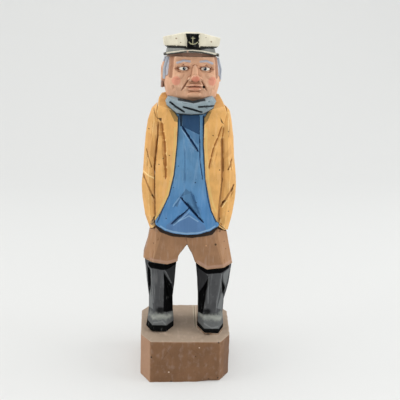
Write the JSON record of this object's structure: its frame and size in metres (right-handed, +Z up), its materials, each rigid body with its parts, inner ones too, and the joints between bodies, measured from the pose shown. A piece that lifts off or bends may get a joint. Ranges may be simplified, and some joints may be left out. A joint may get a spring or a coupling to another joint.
{
  "type": "carved wooden sailor figurine",
  "caption": "Hand-carved, hand-painted wooden sailor in a peaked cap, open jacket and sea boots, standing on a square plinth with cut corners.",
  "frame": {"origin": "centre of the plinth's underside, which is the bottom centre of the bounding box", "axes": "+Z up, -Y the way the sailor faces, +X towards the sailor's left hand (the viewer's right)"},
  "size_m": [0.0524, 0.053, 0.19],
  "materials": {
    "bare_wood": "stained softwood, matt, knife marks",
    "charcoal_paint": "charcoal paint on wood, worn to grey on the ridges",
    "brown_paint": "thin brown paint on wood",
    "blue_paint": "blue paint on wood, satin",
    "ochre_paint": "ochre paint on wood, satin, darker in the cuts",
    "scarf_paint": "grey-blue paint on wood",
    "flesh_paint": "flesh-coloured paint on wood",
    "hair_paint": "dry-brushed grey paint on wood",
    "cap_grey_paint": "grey paint on wood",
    "cream_paint": "cream paint on wood, rubbed",
    "black_paint": "black paint on wood"
  },
  "bodies": {
    "root": {"plinth": "bare_wood", "boot_right": "charcoal_paint", "boot_left": "charcoal_paint", "breeches": "brown_paint", "jersey": "blue_paint", "jacket_body": "ochre_paint", "sleeve_right": "ochre_paint", "sleeve_left": "ochre_paint", "neck_scarf": "scarf_paint", "head": "flesh_paint", "ear_right": "flesh_paint", "ear_left": "flesh_paint", "hair_back": "hair_paint", "hair_right": "hair_paint", "hair_left": "hair_paint", "cap_band": "cap_grey_paint", "cap_visor": "cap_grey_paint", "cap_crown": "cream_paint", "cap_badge": "black_paint"}
  },
  "joints": []
}
